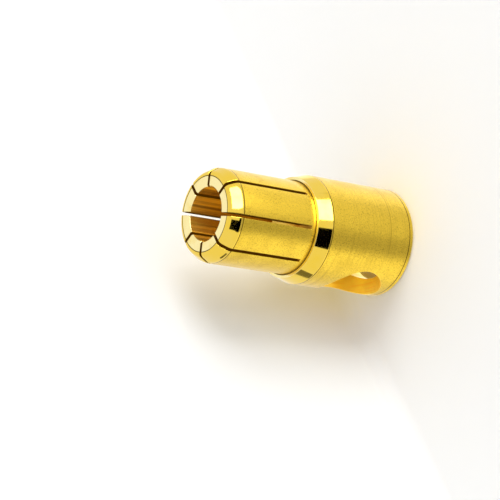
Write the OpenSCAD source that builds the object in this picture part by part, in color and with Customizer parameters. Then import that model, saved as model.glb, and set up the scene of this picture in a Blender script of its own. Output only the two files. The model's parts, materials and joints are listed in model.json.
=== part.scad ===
// Male half of a slip-together battery lead connector, turned from one bar.
// The axis is Z. It stands on its wire end with the slotted contact pin
// upward, and the solder window faces -Y.

/* [Contact pin] */
// Diameter over the sprung contact fingers
pin_d = 8; // [6:0.1:8.6]
// Length of the pin, from the shoulder to the nose
pin_l = 8.55; // [6:0.05:14]
// Diameter of the bore inside the fingers
pin_bore_d = 4.55; // [3:0.05:5.6]
// Width of the chamfer round the nose, measured across the axis
nose_w = 0.5; // [0.3:0.05:0.8]
// Length of the chamfer round the nose, measured along the axis
nose_l = 0.85; // [0.7:0.05:2]
// Radius that blends the front face into the chamfer
face_round = 0.3; // [0.1:0.05:0.4]
// Radius that blends the chamfer into the side of the pin
side_round = 0.9; // [0.2:0.05:1.2]

/* [Finger slots] */
// Number of contact fingers
fingers = 8; // [4:1:10]
// Width of each saw cut between two fingers
slot_w = 0.3; // [0.15:0.05:0.6]
// Uncut band between the end of the slots and the shoulder
slot_stop = 0.4; // [0.1:0.05:1.5]
// Turn of the slots round the axis from the window, in degrees
slot_turn = 15.5; // [0:0.5:45]

/* [Shoulder] */
// Width of the flat ledge where the pin meets the shoulder
ledge_w = 0.33; // [0.1:0.01:0.5]
// Length of the polished slope behind the ledge, along the axis
slope_l = 1.25; // [0.4:0.05:2.5]

/* [Solder cup] */
// Bore that takes the bared end of the lead
cup_bore_d = 6.6; // [6.2:0.1:8]
// Wall of the solder cup
cup_wall = 1.4; // [1.2:0.05:2]
// Length from the wire end to the shoulder
cup_l = 10.15; // [9:0.05:16]
// Solid web left between the point of the pin's bore and the cup's floor
web_t = 1.2; // [0.6:0.1:2]
// Diameter of the solder window in the wall of the cup
window_d = 5.5; // [2:0.1:6]
// Distance of the window's centre from the wire end
window_up = 3.7; // [3.4:0.1:4.6]

/* [Edges] */
// Broken edge on the outside of the wire end
rim_break = 0.12; // [0.05:0.01:0.25]
// Broken edge at the mouth of the solder cup
mouth_break = 0.2; // [0.05:0.01:0.4]
// Broken edge at the mouth of the pin's bore
bore_break = 0.12; // [0.05:0.01:0.25]

/* [Hidden] */
// Full angle of the drill's point, which the pin's bore keeps at its end
point_angle = 118;
// How far the pin's bore runs past the end of the slots
bore_past_slots = 0.4;
// Overshoot of each cutting solid beyond the face that it cuts
over = 1;
// Steps in each blend of the nose
blend_steps = 4;
pin_r = pin_d / 2;
pin_bore_r = pin_bore_d / 2;
cup_bore_r = cup_bore_d / 2;
cup_r = cup_bore_r + cup_wall;
total_l = cup_l + pin_l;
slot_l = pin_l - slot_stop;
pin_bore_l = slot_l + bore_past_slots;
point_l = pin_bore_r / tan(point_angle / 2);
cup_depth = total_l - pin_bore_l - point_l - web_t;
finger_step = 360 / fingers;
first_slot = -90 - slot_turn;
// Angle between the front face and the chamfer of the nose
nose_angle = atan(nose_l / nose_w);
$fn = 96;

// Points of a blend of radius r in the corner [x, z] of a half section, where
// the outline arrives at angle a0 and leaves at angle a1, turning right
function blend(corner, r, a0, a1) =
  let(
    turn = a0 - a1,
    start = corner - r * tan(turn / 2) * [cos(a0), sin(a0)],
    centre = start + r * [sin(a0), -cos(a0)]
  )
  [for (i = [0 : blend_steps])
    let(a = a0 - turn * i / blend_steps)
    centre + r * [-sin(a), cos(a)]];

// The outside of the turned bar, as a half section that is spun round Z. The
// spin starts midway between two saw cuts, so that no cut meets its seam.
module turned_blank() {
  face_corner = [pin_r - nose_w, total_l];
  side_corner = [pin_r, total_l - nose_l];
  rotate(first_slot + finger_step / 2)
    rotate_extrude()
      polygon(concat(
        [[0, 0], [0, total_l]],
        blend(face_corner, face_round, 0, -nose_angle),
        blend(side_corner, side_round, -nose_angle, -90),
        [
          [pin_r, cup_l],
          [pin_r + ledge_w, cup_l],
          [cup_r, cup_l - slope_l],
          [cup_r, rim_break],
          [cup_r - rim_break, 0],
        ]
      ));
}

// The drilled bore that lets the fingers spring, with its broken mouth
module pin_bore() {
  rotate_extrude()
    polygon([
      [0, total_l - pin_bore_l - point_l],
      [pin_bore_r, total_l - pin_bore_l],
      [pin_bore_r, total_l - bore_break],
      [pin_bore_r + bore_break, total_l],
      [pin_bore_r + bore_break, total_l + over],
      [0, total_l + over],
    ]);
}

// Saw cuts that part the pin into fingers
module finger_slots() {
  for (i = [0 : fingers - 1])
    rotate(first_slot + i * finger_step)
      translate([0, -slot_w / 2, total_l - slot_l])
        cube([pin_r + over, slot_w, slot_l + over]);
}

// The flat-bottomed bore at the wire end, with its broken mouth
module wire_cup() {
  rotate_extrude()
    polygon([
      [0, -over],
      [cup_bore_r + mouth_break, -over],
      [cup_bore_r + mouth_break, 0],
      [cup_bore_r, mouth_break],
      [cup_bore_r, cup_depth],
      [0, cup_depth],
    ]);
}

// The round hole through one wall of the cup
module solder_window() {
  translate([0, 0, window_up])
    rotate([90, 0, 0])
      cylinder(d = window_d, h = cup_r + over);
}

module plug() {
  color("gold")
    difference() {
      turned_blank();
      pin_bore();
      finger_slots();
      wire_cup();
      solder_window();
    }
}

plug();
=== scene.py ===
import json
import math

import bpy
import numpy as np
from mathutils import Matrix, Vector, noise


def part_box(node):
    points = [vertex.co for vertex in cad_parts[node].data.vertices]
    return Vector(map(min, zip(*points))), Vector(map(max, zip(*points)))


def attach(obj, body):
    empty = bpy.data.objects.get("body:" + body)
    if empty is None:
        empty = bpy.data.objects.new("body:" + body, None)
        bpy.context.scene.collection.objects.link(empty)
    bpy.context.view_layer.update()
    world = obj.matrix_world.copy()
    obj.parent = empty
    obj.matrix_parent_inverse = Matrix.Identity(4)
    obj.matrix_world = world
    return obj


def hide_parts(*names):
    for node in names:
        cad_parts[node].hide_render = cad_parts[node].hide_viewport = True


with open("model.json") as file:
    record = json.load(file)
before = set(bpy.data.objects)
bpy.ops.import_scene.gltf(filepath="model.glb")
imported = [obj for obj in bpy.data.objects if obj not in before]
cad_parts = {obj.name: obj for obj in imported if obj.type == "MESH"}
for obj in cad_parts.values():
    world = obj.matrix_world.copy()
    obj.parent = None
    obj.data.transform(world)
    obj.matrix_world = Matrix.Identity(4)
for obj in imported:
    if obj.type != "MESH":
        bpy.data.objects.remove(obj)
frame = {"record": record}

bl_info = {
    "name": "Battery lead plug",
    "version": (1, 0, 0),
    "blender": (4, 5, 0),
    "location": "View3D > Sidebar > Plug",
    "description": "Builds a gold plated sprung pin plug and the small studio that it stands in",
    "category": "Object",
}

MM = 0.001
MOUNTS = {m["name"]: m for m in frame["record"]["mounts"]}
CAD_LOW, CAD_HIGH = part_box("plug")
BODY = "root"
NODE = "plug"

TINY = 1e-9
SHORTEST_STRETCH = 0.3 * MM  # a straight stretch of the outline below this takes no rows of its own
BELOW_NOSE = 0.45 * MM  # from the last row of the slots to the start of the chamfer
PATCH_MARGIN = 0.35 * MM  # from the window to the rim of the patch that holds it
PATCH_ROWS = 18

# The finishes, in the order of the piece's material slots
FINISHES = (
    "satin_fingers", "turned_cup", "polished_bevel", "burnished_face", "drawn_bore", "sawn_slot",
    "drilled_window", "drilled_cup", "tool_line",
)

# Each stretch of the turned outline and its finish
ZONES = {
    "line": "tool_line",
    "cup_floor": "drilled_cup",
    "cup_wall": "drilled_cup",
    "cup_mouth": "polished_bevel",
    "rim": "turned_cup",
    "rim_edge": "turned_cup",
    "cup_side": "turned_cup",
    "slope": "polished_bevel",
    "ledge": "burnished_face",
    "pin_side": "satin_fingers",
    "nose_bevel": "polished_bevel",
    "nose_face": "burnished_face",
    "bore_mouth": "burnished_face",
    "pin_bore": "drawn_bore",
    "drill_point": "drilled_cup",
}


def mount_radius(name):
    return MOUNTS[name]["dims"]["r_mm"] * MM


def length(name, description, default, **more):
    """A size in metres that shows in the scene's own units."""
    return bpy.props.FloatProperty(
        name=name, description=description, default=default, unit="LENGTH", precision=5, **more
    )


def colour(name, description, default):
    return bpy.props.FloatVectorProperty(
        name=name, description=description, default=default, subtype="COLOR", size=3, min=0, max=1
    )


def number(name, description, default, low=0.0, high=1.0):
    return bpy.props.FloatProperty(name=name, description=description, default=default, min=low, max=high)


def angle(name, description, degrees):
    return bpy.props.FloatProperty(
        name=name, description=description, default=math.radians(degrees), subtype="ANGLE"
    )


class PlugSizes(bpy.types.PropertyGroup):
    """Sizes of the turned, slotted and drilled form"""

    total_length: length("Total length", "From the wire end to the nose", CAD_HIGH.z)
    pin_radius: length("Pin radius", "Over the contact fingers", mount_radius("contact_pin"))
    bore_radius: length("Bore radius", "Inside the contact fingers", mount_radius("pin_bore"))
    bore_depth: length("Bore depth", "Full width of the bore, from the nose", 8.55 * MM)
    point_angle: angle("Point angle", "Full angle of the drill's point", 118)
    nose_width: length("Nose width", "Chamfer of the nose, across the axis", 0.5 * MM)
    nose_length: length("Nose length", "Chamfer of the nose, along the axis", 0.85 * MM)
    face_round: length("Face blend", "Radius between the front face and the chamfer", 0.45 * MM)
    side_round: length("Side blend", "Radius between the chamfer and the side", 0.9 * MM)
    fingers: bpy.props.IntProperty(name="Fingers", description="Number of contact fingers", default=8, min=4)
    slot_width: length("Slot width", "Width of each saw cut", 0.3 * MM)
    slot_stop: length("Slot stop", "Uncut band between the slots and the shoulder", 0.4 * MM)
    slot_turn: angle("Slot turn", "Turn of the slots from the window", 15.5)
    shoulder_up: length("Shoulder", "From the wire end to the ledge", MOUNTS["shoulder"]["pos_m"][2])
    ledge_width: length("Ledge width", "Flat ledge at the root of the pin", 0.33 * MM)
    slope_length: length("Slope length", "Polished slope behind the ledge", 1.25 * MM)
    cup_radius: length("Cup bore radius", "Bore for the lead", mount_radius("wire_cup"))
    cup_wall: length("Cup wall", "Wall of the solder cup", 1.4 * MM)
    cup_depth: length("Cup depth", "Depth of the bore for the lead", 7.583 * MM)
    window_radius: length("Window radius", "Hole for the solder", mount_radius("solder_window"))
    window_up: length("Window height", "Centre of the window", MOUNTS["solder_window"]["pos_m"][2])
    rim_break: length("Rim edge", "Broken edge outside the wire end", 0.12 * MM)
    mouth_break: length("Mouth edge", "Broken edge inside the wire end", 0.2 * MM)
    bore_break: length("Bore edge", "Broken edge at the mouth of the pin's bore", 0.12 * MM)
    line: length("Line", "Width of the fine lines that the turning tool leaves", 0.08 * MM)
    edge: length("Edge", "Radius left on every cut edge by tumbling and plating", 0.04 * MM)
    burr: length("Burr", "Height of the burr left round the window", 0.035 * MM)


class PlugFinish(bpy.types.PropertyGroup):
    """Colours and roughness of the gold"""

    gold: colour("Gold", "Plating on the turned surfaces", (0.89, 0.605, 0.055))
    # Gold of the bores and cuts, painted lighter than the plating to stand in for the light that bounces
    # about inside them
    bounce_lit_gold: colour("Deep gold", "Plating in the bores and cuts", (1.0, 0.73, 0.14))
    # Front face and ledge painted paler than the plating: a painted sheen
    sheen_pale_gold: colour("Pale gold", "Burnished front face and ledge", (0.98, 0.84, 0.4))
    bright_gold: colour("Bright gold", "Polished chamfer and slope", (0.88, 0.62, 0.09))
    dark_gold: colour("Dark gold", "Plating in scratches and pits", (0.3, 0.17, 0.012))
    satin: number("Satin roughness", "Roughness of the turned surfaces", 0.3)
    polish: number("Polish roughness", "Roughness of the polished surfaces", 0.045)


class StudioSettings(bpy.types.PropertyGroup):
    """Camera, lamps and backdrop"""

    aim: bpy.props.FloatVectorProperty(
        name="Aim", description="Point that the camera looks at", size=3, subtype="TRANSLATION",
        unit="LENGTH", default=(-7.15 * MM, 0.0, 8.76 * MM),
    )
    camera_turn: angle("Camera azimuth", "Direction of the camera round Z, from +X", -19.41)
    camera_rise: angle("Camera elevation", "Height of the camera above the horizon", 35.64)
    camera_roll: angle("Camera roll", "Roll that lays the plug on its side in the view", -81.11)
    camera_distance: length("Camera distance", "From the point aimed at", 175.98 * MM)
    focal_length: bpy.props.FloatProperty(
        name="Focal length", description="Lens, in millimetres", default=144.0
    )
    paper: colour("Paper", "Colour of the floor and backdrop", (0.93, 0.93, 0.925))
    sweep_turn: angle("Backdrop azimuth", "Direction that the backdrop faces", 28)
    sweep_lean: angle("Backdrop lean", "Lean of the backdrop away from the plug", 6)
    sweep_gap: length("Backdrop gap", "From the plug's axis to the foot of the backdrop", 4.78 * MM)
    key: number("Key", "Radiance of the soft box that casts the shadow", 3.6, high=40.0)
    key_turn: angle("Key azimuth", "Direction of that soft box", 60)
    key_rise: angle("Key elevation", "Height of that soft box above the horizon", 20)
    fill: number("Fill", "Level of the light from all round", 0.78, high=4.0)


# ---------------------------------------------------------------- outline


class Outline:
    """The half section of the turned bar as rows of (radius, height, normal, zone), from the floor of
    the cup, round the wire end, up the outside, over the nose and down the pin's bore."""

    def __init__(self, sizes):
        s = sizes
        top = s.total_length
        cup_outer = s.cup_radius + s.cup_wall
        point = s.bore_radius / math.tan(s.point_angle / 2)
        self.slot_end = s.shoulder_up + s.slot_stop
        e, line = s.edge, s.line
        rim_line = 0.4 * MM
        slope_line = s.shoulder_up - s.slope_length - 0.05 * MM
        root_line = s.pin_radius + 0.1 * MM
        slope_foot = s.shoulder_up - s.slope_length
        ledge_edge = s.pin_radius + s.ledge_width
        bevel_foot = top - s.nose_length - 0.26 * MM
        face_edge = s.pin_radius - s.nose_width - 0.27 * MM
        self.face_middle = (face_edge - line + s.bore_radius + s.bore_break) / 2
        # corner radius, corner height, blend, steps in the blend, zone that follows
        corners = [
            (0, s.cup_depth, 0, 0, "cup_floor"),
            (s.cup_radius, s.cup_depth, 0.2 * MM, 5, "cup_wall"),
            (s.cup_radius, s.mouth_break, e, 3, "cup_mouth"),
            (s.cup_radius + s.mouth_break, 0, e, 3, "rim"),
            (cup_outer - s.rim_break, 0, e, 3, "rim_edge"),
            (cup_outer, s.rim_break, e, 3, "cup_side"),
            (cup_outer, rim_line, 0, 0, "line"),
            (cup_outer, rim_line + line, 0, 0, "cup_side"),
            (cup_outer, slope_line - line, 0, 0, "line"),
            (cup_outer, slope_line, 0, 0, "slope"),
            (cup_outer, slope_foot, 0.12 * MM, 4, "slope"),
            (ledge_edge, s.shoulder_up, e, 4, "ledge"),
            (root_line, s.shoulder_up, 0, 0, "line"),
            (s.pin_radius, s.shoulder_up, e, 3, "pin_side"),
            (s.pin_radius, bevel_foot - line, 0, 0, "line"),
            (s.pin_radius, bevel_foot, 0, 0, "nose_bevel"),
            (s.pin_radius, top - s.nose_length, s.side_round, 10, "nose_bevel"),
            (s.pin_radius - s.nose_width, top, s.face_round, 10, "nose_bevel"),
            (face_edge, top, 0, 0, "line"),
            (face_edge - line, top, 0, 0, "nose_face"),
            (s.bore_radius + s.bore_break, top, e, 3, "bore_mouth"),
            (s.bore_radius, top - s.bore_break, e, 3, "pin_bore"),
            (s.bore_radius, top - s.bore_depth, 0.1 * MM, 3, "drill_point"),
            (0, top - s.bore_depth - point, 0, 0, None),
        ]
        self.rows = []
        for i, corner in enumerate(corners):
            self._add_corner(corners, i, corner)
            if corner[4]:
                self._add_stations(corners, i, s)
        self.rows.append((*corners[-1][:2], *self._normal(corners[-2], corners[-1]), "drill_point"))

    @staticmethod
    def _direction(a, b):
        d = np.array(b[:2], float) - np.array(a[:2], float)
        return d / np.linalg.norm(d)

    def _normal(self, a, b):
        d = self._direction(a, b)
        return d[1], -d[0]

    def _add_corner(self, corners, i, corner):
        """Rows of the blend at one corner, or its first row on the axis."""
        r, z, blend, steps, zone = corner
        if i == 0:
            self.rows.append((r, z, *self._normal(corner, corners[1]), zone))
            return
        if not steps:
            if zone:
                self.rows.append((r, z, *self._normal(corner, corners[i + 1]), zone))
            return
        before = self._direction(corners[i - 1], corner)
        after = self._direction(corner, corners[i + 1])
        a0 = math.atan2(before[1], before[0])
        turn = math.atan2(before[0] * after[1] - before[1] * after[0], before @ after)
        reach = blend * math.tan(abs(turn) / 2)
        start = np.array((r, z)) - before * reach
        side = 1 if turn > 0 else -1
        centre = start + side * blend * np.array((-before[1], before[0]))
        for k in range(steps + 1):
            a = a0 + turn * k / steps
            out = np.array((math.sin(a), -math.cos(a)))
            at = centre + side * blend * out
            owner = corners[i - 1][4] if k < steps / 2 else zone
            self.rows.append((at[0], at[1], out[0], out[1], owner))

    def _add_stations(self, corners, i, s):
        """Rows inside the straight stretch that follows a corner."""
        zone = corners[i][4]
        a, b = np.array(corners[i][:2]), np.array(corners[i + 1][:2])
        if zone == "line" or abs(b - a).sum() < SHORTEST_STRETCH:
            return
        heights = {
            "cup_wall": patch_heights(s)[::-1],
            "cup_side": patch_heights(s),
            "pin_side": self._slot_heights(s, 10),
            "pin_bore": self._slot_heights(s, 14)[::-1],
        }.get(zone, [])
        if zone == "nose_face":
            across = (a[0] - self.face_middle) / (a[0] - b[0])
            fractions = [0.5 * across, across, 0.5 * (across + 1)]
        elif zone in ("cup_floor", "drill_point"):
            fractions = [0.35, 0.7]
        elif zone in ("slope", "rim"):
            fractions = [0.33, 0.66]
        else:
            fractions = [(h - a[1]) / (b[1] - a[1]) for h in heights]
            fractions = [f for f in fractions if 0 < f < 1]
        n = self._normal(a, b)
        for f in fractions:
            at = a + (b - a) * f
            self.rows.append((at[0], at[1], *n, zone))

    def _slot_heights(self, s, count):
        """Heights along the sawn stretch, from the end of the slots to the nose's blend."""
        top = s.total_length - s.nose_length - BELOW_NOSE
        low = self.slot_end
        return [low, low + s.edge] + [low + (top - low) * k / count for k in range(1, count + 1)]


def patch_heights(s):
    """Heights of the rows that cross the window's square patch in the cup's wall."""
    low = s.window_up - s.window_radius - PATCH_MARGIN
    high = s.window_up + s.window_radius + PATCH_MARGIN
    return [low + (high - low) * k / PATCH_ROWS for k in range(PATCH_ROWS + 1)]


# ---------------------------------------------------------------- surface


class Surface:
    """Points, faces, finishes and normals, gathered before they become one mesh."""

    def __init__(self):
        self.points = []
        self.normals = []
        self.faces = []
        self.finish = []
        self.face_normal = []

    def add(self, point, normal):
        self.points.append(tuple(point))
        self.normals.append(tuple(normal))
        return len(self.points) - 1

    def face(self, ids, finish, normal=None):
        """One face; a flat face names its own normal, and any other takes its points' normals."""
        ring = [v for i, v in enumerate(ids) if v != ids[i - 1]]
        if len(set(ring)) > 2:
            self.faces.append(ring)
            self.finish.append(FINISHES.index(finish))
            self.face_normal.append(normal)

    def mesh(self, name):
        used = sorted({v for f in self.faces for v in f})
        place = {v: i for i, v in enumerate(used)}
        mesh = bpy.data.meshes.new(name)
        faces = [[place[v] for v in f] for f in self.faces]
        mesh.from_pydata([self.points[v] for v in used], [], faces)
        mesh.polygons.foreach_set("material_index", self.finish)
        mesh.shade_smooth()
        loops = []
        for f, own in zip(self.faces, self.face_normal):
            loops.extend(own or self.normals[v] for v in f)
        mesh.update()
        mesh.normals_split_custom_set(loops)
        return mesh


def unit(v):
    v = np.asarray(v, float)
    return v / np.linalg.norm(v)


def wobble(x, y, z, size):
    """A smooth value from -1 to 1 that changes over about `size` metres."""
    return noise.noise(Vector((x, y, z)) / size)


class Turning:
    """Lays the outline round the axis in columns that follow the saw cuts."""

    CORNER_STEPS = 3
    LAND_STEPS = 18
    EDGE_WANDER = 0.35  # share by which the width of a broken edge wanders along a slot
    SAME_HEIGHT = 0.25 * MM  # rows inside and outside this near are joined straight across
    OUTER_REACH = math.radians(46)  # half width of the window's patch, outside
    INNER_REACH = math.radians(68)  # and inside, where the same hole takes a wider turn
    WINDOW_FACES = math.radians(-90)
    PATCH_RINGS = (0.0, 0.06, 0.16, 0.32, 0.55, 0.78)
    EDGE_RINGS = (0.25, 0.5, 0.75, 1.0)
    EDGE_DEPTH = 1.6  # depth of the window's broken edge, in widths of a plain edge
    WALL_RINGS = 6

    def __init__(self, sizes):
        self.s = sizes
        self.skin = Surface()
        self.outline = Outline(sizes)
        self.columns = self._columns()
        self.cut = self._cut_rows()
        self.grid = [self._row(k) for k in range(len(self.outline.rows))]

    def _columns(self):
        """One entry for each column: (sector, kind, value, rounding angle)."""
        out = []
        leans = [90 * k / self.CORNER_STEPS for k in range(self.CORNER_STEPS + 1)]
        for sector in range(self.s.fingers):
            out += [(sector, "gap", g, None) for g in (0.0, 0.25)]
            out += [(sector, "right", 0, 90 - lean) for lean in leans]
            out += [(sector, "land", k / self.LAND_STEPS, None) for k in range(1, self.LAND_STEPS)]
            out += [(sector, "left", 0, lean) for lean in leans]
            out += [(sector + 1, "gap", -0.25, None)]
        return out

    def _cut_rows(self):
        """Index of the rows at which the slots end, outside and in the bore."""
        rows = self.outline.rows
        at_end = [k for k, r in enumerate(rows) if abs(r[1] - self.outline.slot_end) < TINY]
        return at_end[0], at_end[-1]

    def _slot_angle(self, sector):
        return math.radians(-90) - self.s.slot_turn + sector * math.tau / self.s.fingers

    def _row(self, k):
        """The points of one row. Rows on the axis are a single point."""
        r, z, nr, nz, _ = self.outline.rows[k]
        if r < TINY:
            pole = self.skin.add((0, 0, z), (0, 0, nz))
            return [pole] * len(self.columns)
        first, last = self.cut
        sawn = first < k < last
        in_bore = k >= last
        return [self._point(col, r, z, nr, nz, sawn, in_bore) for col in self.columns]

    def _point(self, col, r, z, nr, nz, sawn, in_bore):
        sector, kind, value, bend = col
        s = self.s
        if sawn and kind == "gap":
            return None
        start = self._slot_angle(sector)
        if kind == "left":
            start = self._slot_angle(sector + 1)
        track = 10 * sector + (3 if kind == "left" else 7)
        edge = s.edge * (1 + self.EDGE_WANDER * wobble(track, 0, z, 0.7 * MM))
        deep = 0.0
        half = s.slot_width / 2
        if kind == "gap":
            across = value * s.slot_width
        elif kind == "land":
            across = half + edge
        else:
            lean = math.radians(bend)
            across = half + edge - edge * math.sin(lean)
            deep = (edge - edge * math.cos(lean)) if sawn else 0.0
        rr, zz = r - deep * nr, z - deep * nz
        ref = rr if sawn else (s.bore_radius if in_bore else s.pin_radius)
        if kind == "land":
            step = math.tau / s.fingers
            side = math.asin((half + s.edge) / ref)
            turn = start + side + value * (step - 2 * side)
        elif kind == "left":
            turn = start - math.asin(across / ref)
        else:
            turn = start + math.asin(across / ref)
        normal = np.array((nr * math.cos(turn), nr * math.sin(turn), nz))
        if sawn and kind in ("right", "left"):
            inward = start + math.radians(-90 if kind == "right" else 90)
            wall = np.array((math.cos(inward), math.sin(inward), 0))
            normal = unit(math.cos(lean) * normal + math.sin(lean) * wall)
        return self.skin.add((rr * math.cos(turn), rr * math.sin(turn), zz), normal)

    def _is_gap(self, j):
        a, b = self.columns[j], self.columns[(j + 1) % len(self.columns)]
        return "gap" in (a[1], b[1])

    def build(self):
        holes = [self._window(outside=True), self._window(outside=False)]
        self._window_wall(*holes)
        n = len(self.columns)
        first, last = self.cut
        for k in range(len(self.grid) - 1):
            zone = self.outline.rows[k][4]
            for j in range(n):
                if first <= k < last and self._is_gap(j):
                    continue
                if any(k in rows and j in cols for rows, cols, _ in holes):
                    continue
                i = (j + 1) % n
                ring = (self.grid[k][j], self.grid[k][i], self.grid[k + 1][i], self.grid[k + 1][j])
                self.skin.face(ring, ZONES[zone])
        self._slots()
        return self.skin

    # ---- saw cuts

    def _slots(self):
        """The flat walls of each saw cut and the floor at its end."""
        n = len(self.columns)
        per = n // self.s.fingers
        for sector in range(self.s.fingers):
            right = sector * per + 2
            left = (sector * per - 2) % n
            self._wall(right, sector, 1)
            self._wall(left, sector, -1)
            self._slot_floor([(sector * per + k) % n for k in range(-2, 3)])

    def _wall(self, j, sector, side):
        """One flat wall of a saw cut: strips up to the front face, and one face over the nose."""
        first, last = self.cut
        inward = self._slot_angle(sector) - side * math.radians(90)
        normal = (math.cos(inward), math.sin(inward), 0)
        top = self.s.total_length - 1.5 * self.s.edge
        outer = [k for k in range(first, last) if self.outline.rows[k][1] < top and self._outside(k)]
        inner = [k for k in range(last, first, -1) if self.outline.rows[k][1] < top and not self._outside(k)]
        a = b = 0
        rows = self.outline.rows
        while a < len(outer) - 1 or b < len(inner) - 1:
            za = rows[outer[a + 1]][1] if a < len(outer) - 1 else math.inf
            zb = rows[inner[b + 1]][1] if b < len(inner) - 1 else math.inf
            near = abs(za - zb) < self.SAME_HEIGHT
            na, nb = (a + 1, b + 1) if near else ((a + 1, b) if za < zb else (a, b + 1))
            ring = [self.grid[k][j] for k in (outer[a], outer[na], inner[nb], inner[b])]
            self.skin.face(self._facing(ring, side), "sawn_slot", normal)
            a, b = na, nb
        over = [self.grid[k][j] for k in range(outer[-1], inner[-1] + 1)]
        self.skin.face(self._facing(over, side), "sawn_slot", normal)

    def _outside(self, k):
        return self.outline.rows[k][0] > self.outline.face_middle

    @staticmethod
    def _facing(ring, side):
        return ring if side < 0 else ring[::-1]

    def _slot_floor(self, cols):
        first, last = self.cut
        for a, b in zip(cols, cols[1:]):
            ring = [self.grid[first][a], self.grid[first][b], self.grid[last][b], self.grid[last][a]]
            self.skin.face(ring, "sawn_slot", (0, 0, 1))

    # ---- solder window

    def _window(self, outside):
        """The square patch of the cup's wall that holds the window, outside or inside. Gives the rows
        and columns that it takes up, and the ring of points on the edge of the hole's own wall."""
        s = self.s
        radius = s.cup_radius + s.cup_wall if outside else s.cup_radius
        heights = patch_heights(s)
        low, high = heights[0] - TINY, heights[-1] + TINY
        rows = self.outline.rows
        zone = "cup_side" if outside else "cup_wall"
        ks = [
            k for k, r in enumerate(rows)
            if r[4] == zone and low < r[1] < high and abs(r[0] - radius) < TINY
        ]
        reach = self.OUTER_REACH if outside else self.INNER_REACH
        turns = [self._turn_of(v) - self.WINDOW_FACES for v in self.grid[ks[0]]]
        turns = [(t + math.pi) % math.tau - math.pi for t in turns]
        n = len(self.columns)
        js = sorted((j for j in range(n) if abs(turns[j]) < reach), key=lambda j: turns[j])
        low_to_high = ks if outside else ks[::-1]
        ring = [(low_to_high[0], j) for j in js]
        ring += [(k, js[-1]) for k in low_to_high[1:]]
        ring += [(low_to_high[-1], j) for j in js[-2::-1]]
        ring += [(k, js[0]) for k in low_to_high[-2:0:-1]]
        rim = [(turns[j], rows[k][1], self.grid[k][j]) for k, j in ring]
        edge = self._patch(rim, radius, outside)
        return set(range(min(ks), max(ks))), set(js[:-1]), edge

    def _turn_of(self, v):
        x, y, _ = self.skin.points[v]
        return math.atan2(y, x)

    def _patch(self, rim, radius, outside):
        """Rings of faces from the patch's square rim to the round edge of the hole."""
        s = self.s
        finish = "turned_cup" if outside else "drilled_cup"
        way = 1 if outside else -1
        rings = []
        bearings = [math.atan2(z - s.window_up, radius * t) for t, z, _ in rim]
        hole = s.window_radius + s.edge
        for fraction in self.PATCH_RINGS:
            ring = []
            for (t, z, _), bearing in zip(rim, bearings):
                ht = math.asin(min(1, hole * math.cos(bearing) / radius))
                hz = s.window_up + hole * math.sin(bearing)
                at, up = ht + (t - ht) * fraction, hz + (z - hz) * fraction
                ring.append(self._on_cup(radius, at, up, way))
            rings.append(ring)
        rings.append([v for _, _, v in rim])
        count = len(rim)
        for a, b in zip(rings, rings[1:]):
            for i in range(count):
                j = (i + 1) % count
                ring = [a[i], b[i], b[j], a[j]]
                self.skin.face(ring if outside else ring[::-1], finish)
        return [(v, bearing) for v, bearing in zip(rings[0], bearings)]

    def _on_cup(self, radius, turn, z, way):
        x, y = math.cos(self.WINDOW_FACES + turn), math.sin(self.WINDOW_FACES + turn)
        return self.skin.add((radius * x, radius * y, z), (way * x, way * y, 0))

    def _edge_rings(self, edge, radius, outside):
        """The broken edge between the cup's skin and the hole's wall, as rings of points."""
        s = self.s
        way = 1 if outside else -1
        rings = [[v for v, _ in edge]]
        for t in self.EDGE_RINGS:
            ring = []
            for v, bearing in edge:
                start = np.array(self.skin.points[v])
                skin_normal = np.array(self.skin.normals[v])
                hole_normal = np.array((-math.cos(bearing), 0, -math.sin(bearing)))
                x = s.window_radius * math.cos(bearing)
                z = s.window_up + s.window_radius * math.sin(bearing)
                y = -math.sqrt(max(radius * radius - x * x, 0))
                corner = np.array((x, y, z))
                if outside:
                    corner = corner + skin_normal * self._burr(bearing)
                end = np.array((x, y + way * s.edge * self.EDGE_DEPTH, z))
                at = (1 - t) ** 2 * start + 2 * t * (1 - t) * corner + t * t * end
                ring.append(self.skin.add(at, unit((1 - t) * skin_normal + t * hole_normal)))
            rings.append(ring)
        return rings

    def _burr(self, bearing):
        """Height of the ragged lip that the drill left, at one bearing round the window."""
        x, z = math.cos(bearing), math.sin(bearing)
        rough = wobble(x, z, 0.3, 0.05) + wobble(x, z, 4.0, 0.015)
        return self.s.burr * max(0.0, 0.25 + 0.8 * rough)

    def _window_wall(self, outer, inner):
        """The hole's own wall, from the outside of the cup to the inside."""
        s = self.s
        radius = s.cup_radius + s.cup_wall
        out_rings = self._edge_rings(outer[2], radius, True)
        in_rings = self._edge_rings(inner[2], s.cup_radius, False)
        for rings, flip in ((out_rings, False), (in_rings, True)):
            for a, b in zip(rings, rings[1:]):
                self._join(a, b, flip, "drilled_window")
        self._bridge(out_rings[-1], [b for _, b in outer[2]], in_rings[-1], [b for _, b in inner[2]])

    def _join(self, a, b, flip, finish):
        count = len(a)
        for i in range(count):
            j = (i + 1) % count
            ring = [a[i], a[j], b[j], b[i]]
            self.skin.face(ring[::-1] if flip else ring, finish)

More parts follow.
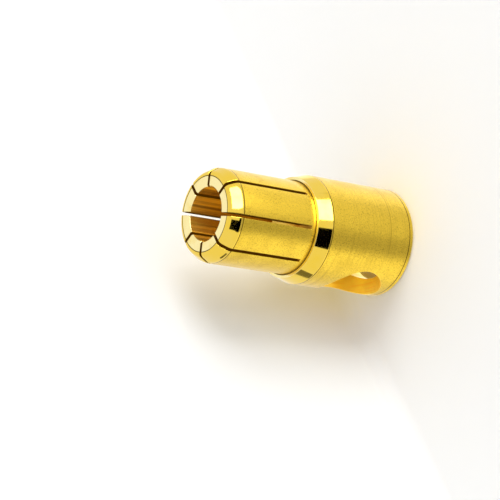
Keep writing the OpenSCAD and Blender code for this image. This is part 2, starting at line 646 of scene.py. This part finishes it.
    def _bridge(self, outer, outer_bearings, inner, inner_bearings):
        """Joins two rings with different numbers of points, by bearing round the hole."""
        def in_order(ring, bearings):
            pairs = sorted(zip([b % math.tau for b in bearings], ring))
            return [b for b, _ in pairs], [v for _, v in pairs]
        ob, ov = in_order(outer, outer_bearings)
        ib, iv = in_order(inner, inner_bearings)
        layers = [ov]
        for step in range(1, self.WALL_RINGS):
            layer = []
            for b, v in zip(ob, ov):
                p = np.array(self.skin.points[v])
                inside = -math.sqrt(self.s.cup_radius ** 2 - p[0] ** 2) - self.s.edge * self.EDGE_DEPTH
                p[1] += (inside - p[1]) * step / self.WALL_RINGS
                layer.append(self.skin.add(p, (-math.cos(b), 0, -math.sin(b))))
            layers.append(layer)
        for a, b in zip(layers, layers[1:]):
            self._join(a, b, False, "drilled_window")
        a, b = layers[-1], iv
        i = j = 0
        while i < len(a) or j < len(b):
            next_a = ob[i + 1] if i + 1 < len(ob) else ob[(i + 1) % len(ob)] + math.tau
            next_b = ib[j + 1] if j + 1 < len(ib) else ib[(j + 1) % len(ib)] + math.tau
            ai, bj = a[i % len(a)], b[j % len(b)]
            if j >= len(b) or (i < len(a) and next_a <= next_b):
                self.skin.face([ai, a[(i + 1) % len(a)], bj], "drilled_window")
                i += 1
            else:
                self.skin.face([ai, b[(j + 1) % len(b)], bj], "drilled_window")
                j += 1


# ---------------------------------------------------------------- shader groups


def new_group(name, inputs, outputs):
    """A shader node group with named sockets. Each entry is (name, socket type, default)."""
    tree = bpy.data.node_groups.new(name, "ShaderNodeTree")
    for label, kind, default in inputs:
        socket = tree.interface.new_socket(label, in_out="INPUT", socket_type=kind)
        if default is not None:
            socket.default_value = default
    for label, kind in outputs:
        tree.interface.new_socket(label, in_out="OUTPUT", socket_type=kind)
    return tree, tree.nodes.new("NodeGroupInput"), tree.nodes.new("NodeGroupOutput")


def add_node(tree, kind, **settings):
    node = tree.nodes.new(kind)
    for key, value in settings.items():
        if key == "inputs":
            for name, v in value.items():
                node.inputs[name].default_value = v
        else:
            setattr(node, key, value)
    return node


def stretched_noise(tree, stretch, detail):
    """Noise in the object's own metres, with its number of grains to the metre along each axis."""
    link = tree.links.new
    coords = add_node(tree, "ShaderNodeTexCoord")
    mapping = add_node(tree, "ShaderNodeMapping", inputs={"Scale": stretch})
    link(coords.outputs["Object"], mapping.inputs["Vector"])
    grain = add_node(tree, "ShaderNodeTexNoise", inputs={"Scale": 1.0, "Detail": detail})
    link(mapping.outputs[0], grain.inputs["Vector"])
    return grain


def mask(tree, value, low, high, start=0.0, stop=1.0):
    """Spreads a value from low..high over start..stop, and holds it there."""
    spread = add_node(
        tree, "ShaderNodeMapRange",
        inputs={"From Min": low, "From Max": high, "To Min": start, "To Max": stop},
    )
    tree.links.new(value, spread.inputs["Value"])
    return spread


def turning_marks_group():
    """Fine rings left by the lathe tool: close lines round Z, with a few deeper ones."""
    tree, inside, out = new_group(
        "turning marks",
        [("Pitch", "NodeSocketFloat", 1.0)],
        [("Height", "NodeSocketFloat"), ("Lines", "NodeSocketFloat")],
    )
    link = tree.links.new
    fine = stretched_noise(tree, (150, 150, 9000), 3.0)
    link(inside.outputs["Pitch"], fine.inputs["Scale"])
    coarse = stretched_noise(tree, (60, 60, 3400), 1.0)
    deep = mask(tree, coarse.outputs[0], 0.66, 0.74)
    height = add_node(tree, "ShaderNodeMath", operation="MULTIPLY_ADD")
    height.inputs[1].default_value = -0.6
    link(deep.outputs[0], height.inputs[0])
    link(fine.outputs[0], height.inputs[2])
    link(height.outputs[0], out.inputs["Height"])
    link(deep.outputs[0], out.inputs["Lines"])
    return tree


def plated_grain_group():
    """The fine grain of plating over bare metal, with a slow mottle and scattered pits."""
    tree, inside, out = new_group(
        "plated grain",
        [("Size", "NodeSocketFloat", 1.0)],
        [("Height", "NodeSocketFloat"), ("Mottle", "NodeSocketFloat"), ("Pits", "NodeSocketFloat")],
    )
    link = tree.links.new
    fine = stretched_noise(tree, (12000, 12000, 12000), 2.0)
    link(inside.outputs["Size"], fine.inputs["Scale"])
    mottle = stretched_noise(tree, (700, 700, 700), 3.0)
    spots = stretched_noise(tree, (6500, 6500, 6500), 0.0)
    pits = mask(tree, spots.outputs[0], 0.76, 0.84)
    height = add_node(tree, "ShaderNodeMath", operation="MULTIPLY_ADD")
    height.inputs[1].default_value = -0.4
    link(pits.outputs[0], height.inputs[0])
    link(fine.outputs[0], height.inputs[2])
    link(height.outputs[0], out.inputs["Height"])
    link(mottle.outputs[0], out.inputs["Mottle"])
    link(pits.outputs[0], out.inputs["Pits"])
    return tree


def shared_group(name, make):
    return bpy.data.node_groups.get(name) or make()


# ---------------------------------------------------------------- materials


class Finish:
    """A gold finish: a metal whose tone, roughness and surface vary by the shared groups."""

    def __init__(self, name, roughness):
        self.material = bpy.data.materials.new(name)
        self.material.use_nodes = True
        self.tree = self.material.node_tree
        self.shader = self.tree.nodes["Principled BSDF"]
        self.shader.inputs["Metallic"].default_value = 1.0
        self.shader.inputs["Roughness"].default_value = roughness
        self.link = self.tree.links.new

    def group(self, name, make, **values):
        node = self.tree.nodes.new("ShaderNodeGroup")
        node.node_tree = shared_group(name, make)
        for key, value in values.items():
            node.inputs[key].default_value = value
        return node

    def marks(self, pitch=1.0):
        return self.group("turning marks", turning_marks_group, Pitch=pitch)

    def grain(self, size=1.0):
        return self.group("plated grain", plated_grain_group, Size=size)

    def glow(self, colour):
        """Painted bounce light: an emission that stands in for the light that many reflections between close
        walls carry back out of a deep cut.
        """
        self.shader.inputs["Emission Color"].default_value = (*colour, 1)
        self.shader.inputs["Emission Strength"].default_value = 1.0

    def tone(self, factor, light, dark, low=0.0, high=1.0, base=None):
        """Mixes two golds by a mask; `base` is an earlier mix that takes the place of `light`."""
        spread = mask(self.tree, factor, low, high)
        mix = add_node(self.tree, "ShaderNodeMix", data_type="RGBA")
        self.link(spread.outputs[0], mix.inputs["Factor"])
        if base is None:
            mix.inputs["A"].default_value = (*light, 1)
        else:
            self.link(base, mix.inputs["A"])
        mix.inputs["B"].default_value = (*dark, 1)
        return mix.outputs["Result"]

    def colour(self, socket):
        self.link(socket, self.shader.inputs["Base Color"])

    def roughness(self, factor, low, high, start=0.3, stop=0.7):
        spread = mask(self.tree, factor, start, stop, low, high)
        self.link(spread.outputs[0], self.shader.inputs["Roughness"])

    def bump(self, height, strength, depth, under=None):
        node = add_node(self.tree, "ShaderNodeBump", inputs={"Strength": strength, "Distance": depth})
        self.link(height, node.inputs["Height"])
        if under is not None:
            self.link(under, node.inputs["Normal"])
        return node.outputs["Normal"]

    def normal(self, socket):
        self.link(socket, self.shader.inputs["Normal"])
        return self.material


def blend(a, b, t):
    return tuple(x + (y - x) * t for x, y in zip(a, b))


def streaks(gold, stretch):
    """A mask of long scratches or rings, drawn out along one of the object's axes; in the bore it also lays
    out painted reflection stripes.
    """
    return stretched_noise(gold.tree, stretch, 3.0).outputs[0]


def satin_fingers(f):
    """Contact fingers: an even satin with a fine grain."""
    gold = Finish("satin_fingers", f.satin)
    grain, marks = gold.grain(1.0), gold.marks(0.7)
    base = gold.tone(grain.outputs["Mottle"], f.gold, blend(f.gold, f.dark_gold, 0.16), 0.42, 0.75)
    base = gold.tone(grain.outputs["Height"], None, blend(f.gold, f.dark_gold, 0.6), 0.5, 0.7, base=base)
    gold.colour(gold.tone(grain.outputs["Pits"], None, blend(f.gold, f.dark_gold, 0.6), base=base))
    gold.roughness(grain.outputs["Mottle"], f.satin * 0.85, f.satin * 1.2)
    under = gold.bump(marks.outputs["Height"], 0.3, 0.008 * MM)
    return gold.normal(gold.bump(grain.outputs["Height"], 0.8, 0.012 * MM, under))


def turned_cup(f):
    """Solder cup: satin with the rings of the lathe tool."""
    gold = Finish("turned_cup", f.satin)
    grain, marks = gold.grain(0.8), gold.marks(1.0)
    base = gold.tone(grain.outputs["Mottle"], f.gold, blend(f.gold, f.dark_gold, 0.2), 0.42, 0.75)
    base = gold.tone(grain.outputs["Height"], None, blend(f.gold, f.dark_gold, 0.55), 0.5, 0.7, base=base)
    base = gold.tone(marks.outputs["Height"], None, blend(f.gold, f.dark_gold, 0.35), 0.5, 0.75, base=base)
    base = gold.tone(marks.outputs["Lines"], None, blend(f.gold, f.dark_gold, 0.5), base=base)
    gold.colour(gold.tone(grain.outputs["Pits"], None, blend(f.gold, f.dark_gold, 0.6), base=base))
    gold.roughness(grain.outputs["Mottle"], f.satin * 0.9, f.satin * 1.25)
    under = gold.bump(marks.outputs["Height"], 0.6, 0.01 * MM)
    return gold.normal(gold.bump(grain.outputs["Height"], 0.8, 0.011 * MM, under))


def polished_bevel(f):
    """Chamfer of the nose and slope of the shoulder: burnished by the cutting tool."""
    gold = Finish("polished_bevel", f.polish)
    grain, marks = gold.grain(0.5), gold.marks(0.5)
    worn = blend(f.bright_gold, f.gold, 0.8)
    gold.colour(gold.tone(grain.outputs["Mottle"], f.bright_gold, worn, 0.4, 0.7))
    gold.roughness(grain.outputs["Mottle"], f.polish, f.polish * 2.2)
    return gold.normal(gold.bump(marks.outputs["Height"], 0.05, 0.003 * MM))


def burnished_face(f):
    """Front face and ledge: faced off square, and painted pale and bright as a painted sheen."""
    gold = Finish("burnished_face", f.polish * 3)
    grain, marks = gold.grain(0.7), gold.marks(0.6)
    gold.colour(gold.tone(grain.outputs["Mottle"], f.sheen_pale_gold, blend(f.sheen_pale_gold, f.gold, 0.5), 0.45, 0.75))
    gold.roughness(grain.outputs["Mottle"], f.polish * 2.5, f.polish * 5)
    return gold.normal(gold.bump(marks.outputs["Height"], 0.1, 0.004 * MM))


def drawn_bore(f):
    """Bore between the fingers: reamed and deep in colour, made bright by a painted glow and painted
    reflection stripes.
    """
    gold = Finish("drawn_bore", 0.45)
    gold.glow((0, 0, 0))
    # Stripes along the bore: painted reflection stripes in the glow and the base colour; the fine stripes
    # also give the reamer's streaks in the bump and roughness
    lines = streaks(gold, (2600, 2600, 60))
    wide_glow_stripes = streaks(gold, (900, 900, 30))
    # Painted glow of the light that comes in through the slots, laid out in those stripes
    deep = gold.tone(wide_glow_stripes, (0.34, 0.135, 0.0), (0.06, 0.018, 0.0), 0.42, 0.56)
    deep = gold.tone(lines, None, (0.03, 0.008, 0.0), 0.46, 0.62, base=deep)
    gold.link(deep, gold.shader.inputs["Emission Color"])
    base = gold.tone(wide_glow_stripes, f.bounce_lit_gold, blend(f.bounce_lit_gold, f.dark_gold, 0.6), 0.45, 0.55)
    gold.colour(gold.tone(lines, None, blend(f.bounce_lit_gold, f.dark_gold, 0.8), 0.48, 0.62, base=base))
    gold.roughness(lines, 0.4, 0.6)
    return gold.normal(gold.bump(lines, 0.5, 0.008 * MM))


def sawn_slot(f):
    """Walls of the saw cuts: duller and darker than the skin, with a painted glow of bounce light and a gold
    painted lighter for the same reason.
    """
    gold = Finish("sawn_slot", 0.6)
    # Painted bounce light glowing out of the cut
    gold.glow((0.055, 0.018, 0.0))
    grain = gold.grain(1.2)
    dull = blend(f.bounce_lit_gold, f.dark_gold, 0.4)
    gold.colour(gold.tone(grain.outputs["Mottle"], f.bounce_lit_gold, dull, 0.35, 0.7))
    gold.roughness(grain.outputs["Mottle"], 0.5, 0.7)
    return gold.normal(gold.bump(grain.outputs["Height"], 0.6, 0.008 * MM))


def drilled_window(f):
    """Wall of the solder window: orange gold with marks of the drill, brightened by a painted glow of bounce
    light and a gold painted lighter.
    """
    gold = Finish("drilled_window", 0.4)
    # Painted bounce light glowing from the window's wall
    gold.glow((0.2, 0.11, 0.0))
    grain = gold.grain(0.9)
    rings = streaks(gold, (200, 4200, 200))
    base = gold.tone(grain.outputs["Mottle"], f.bounce_lit_gold, blend(f.bounce_lit_gold, f.dark_gold, 0.3), 0.4, 0.7)
    gold.colour(gold.tone(rings, None, blend(f.bounce_lit_gold, f.dark_gold, 0.4), 0.55, 0.7, base=base))
    gold.roughness(grain.outputs["Mottle"], 0.34, 0.52)
    under = gold.bump(rings, 0.6, 0.012 * MM)
    return gold.normal(gold.bump(grain.outputs["Height"], 0.6, 0.01 * MM, under))


def tool_line(f):
    """The fine line at which the turning tool stopped: painted dark, a painted shade of the groove that the
    flat band stands in for.
    """
    gold = Finish("tool_line", 0.3)
    grain = gold.grain(1.0)
    # The line's dark colour is painted shade, with a random mottle
    dark = blend(f.dark_gold, (0.0, 0.0, 0.0), 0.6)
    gold.colour(gold.tone(grain.outputs["Mottle"], dark, blend(f.dark_gold, dark, 0.5), 0.4, 0.7))
    gold.roughness(grain.outputs["Mottle"], 0.25, 0.45)
    return gold.normal(gold.bump(grain.outputs["Height"], 0.3, 0.004 * MM))


def drilled_cup(f):
    """Inside of the solder cup: drilled, with rings of the drill's lips."""
    gold = Finish("drilled_cup", 0.26)
    grain, marks = gold.grain(0.8), gold.marks(0.7)
    # Gold painted lighter as bounce light inside the cup, mottled darker at random
    shaded = blend(f.bounce_lit_gold, f.dark_gold, 0.25)
    gold.colour(gold.tone(grain.outputs["Mottle"], f.bounce_lit_gold, shaded, 0.4, 0.75))
    gold.roughness(grain.outputs["Mottle"], 0.24, 0.4)
    return gold.normal(gold.bump(marks.outputs["Height"], 0.5, 0.008 * MM))


MAKERS = {
    "satin_fingers": satin_fingers,
    "turned_cup": turned_cup,
    "polished_bevel": polished_bevel,
    "burnished_face": burnished_face,
    "drawn_bore": drawn_bore,
    "sawn_slot": sawn_slot,
    "drilled_window": drilled_window,
    "drilled_cup": drilled_cup,
    "tool_line": tool_line,
}


# ---------------------------------------------------------------- studio


def direction(turn, rise):
    return Vector((math.cos(turn) * math.cos(rise), math.sin(turn) * math.cos(rise), math.sin(rise)))


def world_light(fill):
    """White where the camera and the metal look, and a plain fill everywhere else."""
    world = bpy.data.worlds.new("studio")
    bpy.context.scene.world = world
    world.use_nodes = True
    tree = world.node_tree
    link = tree.links.new
    background = tree.nodes["Background"]
    background.inputs["Color"].default_value = (1, 1, 1, 1)
    path = add_node(tree, "ShaderNodeLightPath")
    seen = add_node(tree, "ShaderNodeMath", operation="MAXIMUM")
    link(path.outputs["Is Camera Ray"], seen.inputs[0])
    link(path.outputs["Is Glossy Ray"], seen.inputs[1])
    also = add_node(tree, "ShaderNodeMath", operation="MAXIMUM")
    link(seen.outputs[0], also.inputs[0])
    link(path.outputs["Is Transmission Ray"], also.inputs[1])
    level = add_node(tree, "ShaderNodeMapRange", inputs={"To Min": fill, "To Max": 1.0})
    link(also.outputs[0], level.inputs["Value"])
    link(level.outputs[0], background.inputs["Strength"])


def key_box(st):
    """The soft box that casts the shadow and that the metal doesn't show."""
    lamp = bpy.data.lights.new("key_box", "AREA")
    lamp.shape = "RECTANGLE"
    lamp.size = lamp.size_y = KEY_SIZE
    lamp.energy = st.key * math.pi * KEY_SIZE * KEY_SIZE
    holder = bpy.data.objects.new("key_box", lamp)
    bpy.context.scene.collection.objects.link(holder)
    away = direction(st.key_turn, st.key_rise)
    holder.location = MIDDLE + away * KEY_DISTANCE
    holder.rotation_euler = away.to_track_quat("Z", "Y").to_euler()
    holder.visible_camera = False
    holder.visible_diffuse = True
    holder.visible_glossy = False


KEY_SIZE = 1950 * MM
KEY_DISTANCE = 3000 * MM
CARD_DISTANCE = 60 * MM
FLOOR_REACH = 1200 * MM
SWEEP_REACH = 600 * MM
SWEEP_HEIGHT = 300 * MM
SWEEP_BEND = 1.5 * MM
SWEEP_STEPS = 16
MIDDLE = Vector((0, 0, 14 * MM))  # the point that the lamp and the cards stand round

# Cards that shape the reflections: name, radiance, corners as (azimuth, elevation) in degrees
CARDS = (
    ("bright_card", 7.0, [(3, 36), (55, 36), (54, 10), (46, -15), (6, -15), (3, 10)]),
    ("dark_card", 0.0, [(-48, -12), (-10, -12), (-10, -2), (-23, 12), (-23, 30), (-47, 30)]),
    ("shade_card", 0.54, [(-46, -62), (-6, -62), (-6, -13), (-46, -13)]),
    ("glow_card", 1.35, [(-100, -62), (-49, -62), (-49, -24), (-100, -24)]),
    ("grey_card", 0.84, [(-5, -62), (62, -62), (62, -16), (-5, -16)]),
    ("top_card", 1.35, [(66, -60), (150, -60), (150, -22), (66, -22)]),
    ("low_card", 0.2, [(-128, -19), (-107, -22), (-103, -6), (-120, -2)]),
)


def reflection_card(name, grey, corners):
    """A card that only shows as a reflection in the metal."""
    points = [MIDDLE + direction(math.radians(a), math.radians(e)) * CARD_DISTANCE for a, e in corners]
    mesh = bpy.data.meshes.new(name)
    mesh.from_pydata(points, [], [tuple(range(len(points)))])
    card = bpy.data.objects.new(name, mesh)
    bpy.context.scene.collection.objects.link(card)
    material = bpy.data.materials.new(name)
    material.use_nodes = True
    tree = material.node_tree
    tree.nodes.remove(tree.nodes["Principled BSDF"])
    glow = add_node(tree, "ShaderNodeEmission", inputs={"Color": (grey, grey, grey, 1)})
    tree.links.new(glow.outputs[0], tree.nodes["Material Output"].inputs["Surface"])
    mesh.materials.append(material)
    card.visible_camera = False
    card.visible_diffuse = False
    card.visible_shadow = False
    card.visible_transmission = False


def paper_material(colour):
    """Matt paper that is seen from its front only."""
    material = bpy.data.materials.new("paper")
    material.use_nodes = True
    tree = material.node_tree
    link = tree.links.new
    tree.nodes.remove(tree.nodes["Principled BSDF"])
    matt = add_node(tree, "ShaderNodeBsdfDiffuse", inputs={"Color": (*colour, 1)})
    clear = add_node(tree, "ShaderNodeBsdfTransparent")
    side = add_node(tree, "ShaderNodeNewGeometry")
    choose = add_node(tree, "ShaderNodeMixShader")
    link(side.outputs["Backfacing"], choose.inputs[0])
    link(matt.outputs[0], choose.inputs[1])
    link(clear.outputs[0], choose.inputs[2])
    link(choose.outputs[0], tree.nodes["Material Output"].inputs["Surface"])
    return material


def paper_sheet(name, points, faces, colour):
    mesh = bpy.data.meshes.new(name)
    mesh.from_pydata(points, [], faces)
    mesh.shade_smooth()
    mesh.materials.append(paper_material(colour))
    sheet = bpy.data.objects.new(name, mesh)
    bpy.context.scene.collection.objects.link(sheet)
    sheet.visible_glossy = False


def paper_sweep(st):
    """Paper that curves up from the floor into a backdrop close behind the plug."""
    rise = math.radians(90) - st.sweep_lean
    profile = []
    for k in range(SWEEP_STEPS + 1):
        a = rise * k / SWEEP_STEPS
        profile.append((-st.sweep_gap - SWEEP_BEND * math.sin(a), SWEEP_BEND - SWEEP_BEND * math.cos(a)))
    d, z = profile[-1]
    profile.append((d - SWEEP_HEIGHT * math.cos(rise), z + SWEEP_HEIGHT * math.sin(rise)))
    forward, along = direction(st.sweep_turn, 0), direction(st.sweep_turn + math.radians(90), 0)
    points = [
        forward * d + along * side + Vector((0, 0, z))
        for d, z in profile for side in (-SWEEP_REACH, SWEEP_REACH)
    ]
    faces = [(2 * k, 2 * k + 1, 2 * k + 3, 2 * k + 2) for k in range(len(profile) - 1)]
    paper_sheet("paper_sweep", points, faces, st.paper)


def paper_floor(st):
    """Paper under the plug, a hair below its wire end."""
    corners = [(-1, -1), (1, -1), (1, 1), (-1, 1)]
    points = [(x * FLOOR_REACH, y * FLOOR_REACH, -0.01 * MM) for x, y in corners]
    paper_sheet("paper_floor", points, [(0, 1, 2, 3)], st.paper)


def studio_camera(st):
    """The camera, aimed from its azimuth and elevation and then rolled."""
    camera = bpy.data.cameras.new("camera")
    camera.lens = st.focal_length
    camera.sensor_width = 36.0
    camera.clip_start = 0.01
    camera.clip_end = 10.0
    holder = bpy.data.objects.new("camera", camera)
    bpy.context.scene.collection.objects.link(holder)
    back = direction(st.camera_turn, st.camera_rise)
    level_right = Vector((0, 0, 1)).cross(back).normalized()
    level_up = back.cross(level_right)
    c, s = math.cos(st.camera_roll), math.sin(st.camera_roll)
    right = level_right * c + level_up * s
    up = back.cross(right)
    turn = Matrix((right, up, back)).transposed().to_4x4()
    holder.matrix_world = Matrix.Translation(Vector(st.aim) + back * st.camera_distance) @ turn
    bpy.context.scene.camera = holder


# ---------------------------------------------------------------- operators


class PLUG_OT_turn(bpy.types.Operator):
    """Turns, slots and drills the plug and plates it gold"""

    bl_idname = "plug.turn"
    bl_label = "Turn the plug"

    def execute(self, context):
        sizes, finish = context.scene.plug_sizes, context.scene.plug_finish
        mesh = Turning(sizes).build().mesh("turned_plug")
        piece = bpy.data.objects.new("turned_plug", mesh)
        context.scene.collection.objects.link(piece)
        for name in FINISHES:
            mesh.materials.append(MAKERS[name](finish))
        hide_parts(NODE)
        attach(piece, BODY)
        return {"FINISHED"}


class PLUG_OT_stage(bpy.types.Operator):
    """Sets the camera, the soft box, the cards and the paper"""

    bl_idname = "plug.stage"
    bl_label = "Set the stage"

    def execute(self, context):
        st = context.scene.plug_studio
        context.scene.view_settings.view_transform = "Standard"
        studio_camera(st)
        world_light(st.fill)
        key_box(st)
        for card in CARDS:
            reflection_card(*card)
        paper_floor(st)
        paper_sweep(st)
        return {"FINISHED"}


class PLUG_PT_panel(bpy.types.Panel):
    """Lists the steps that make the plug"""

    bl_idname = "PLUG_PT_panel"
    bl_label = "Battery lead plug"
    bl_space_type = "VIEW_3D"
    bl_region_type = "UI"
    bl_category = "Plug"

    def draw(self, context):
        for step in STEPS:
            self.layout.operator(step.bl_idname)


GROUPS = {"plug_sizes": PlugSizes, "plug_finish": PlugFinish, "plug_studio": StudioSettings}
STEPS = (PLUG_OT_turn, PLUG_OT_stage)


def register():
    for cls in (*GROUPS.values(), *STEPS, PLUG_PT_panel):
        bpy.utils.register_class(cls)
    for name, group in GROUPS.items():
        setattr(bpy.types.Scene, name, bpy.props.PointerProperty(type=group))


def unregister():
    for name in GROUPS:
        delattr(bpy.types.Scene, name)
    for cls in reversed((*GROUPS.values(), *STEPS, PLUG_PT_panel)):
        bpy.utils.unregister_class(cls)


def main():
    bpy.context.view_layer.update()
    register()
    bpy.ops.plug.turn()
    bpy.ops.plug.stage()


if __name__ == "__main__":
    main()
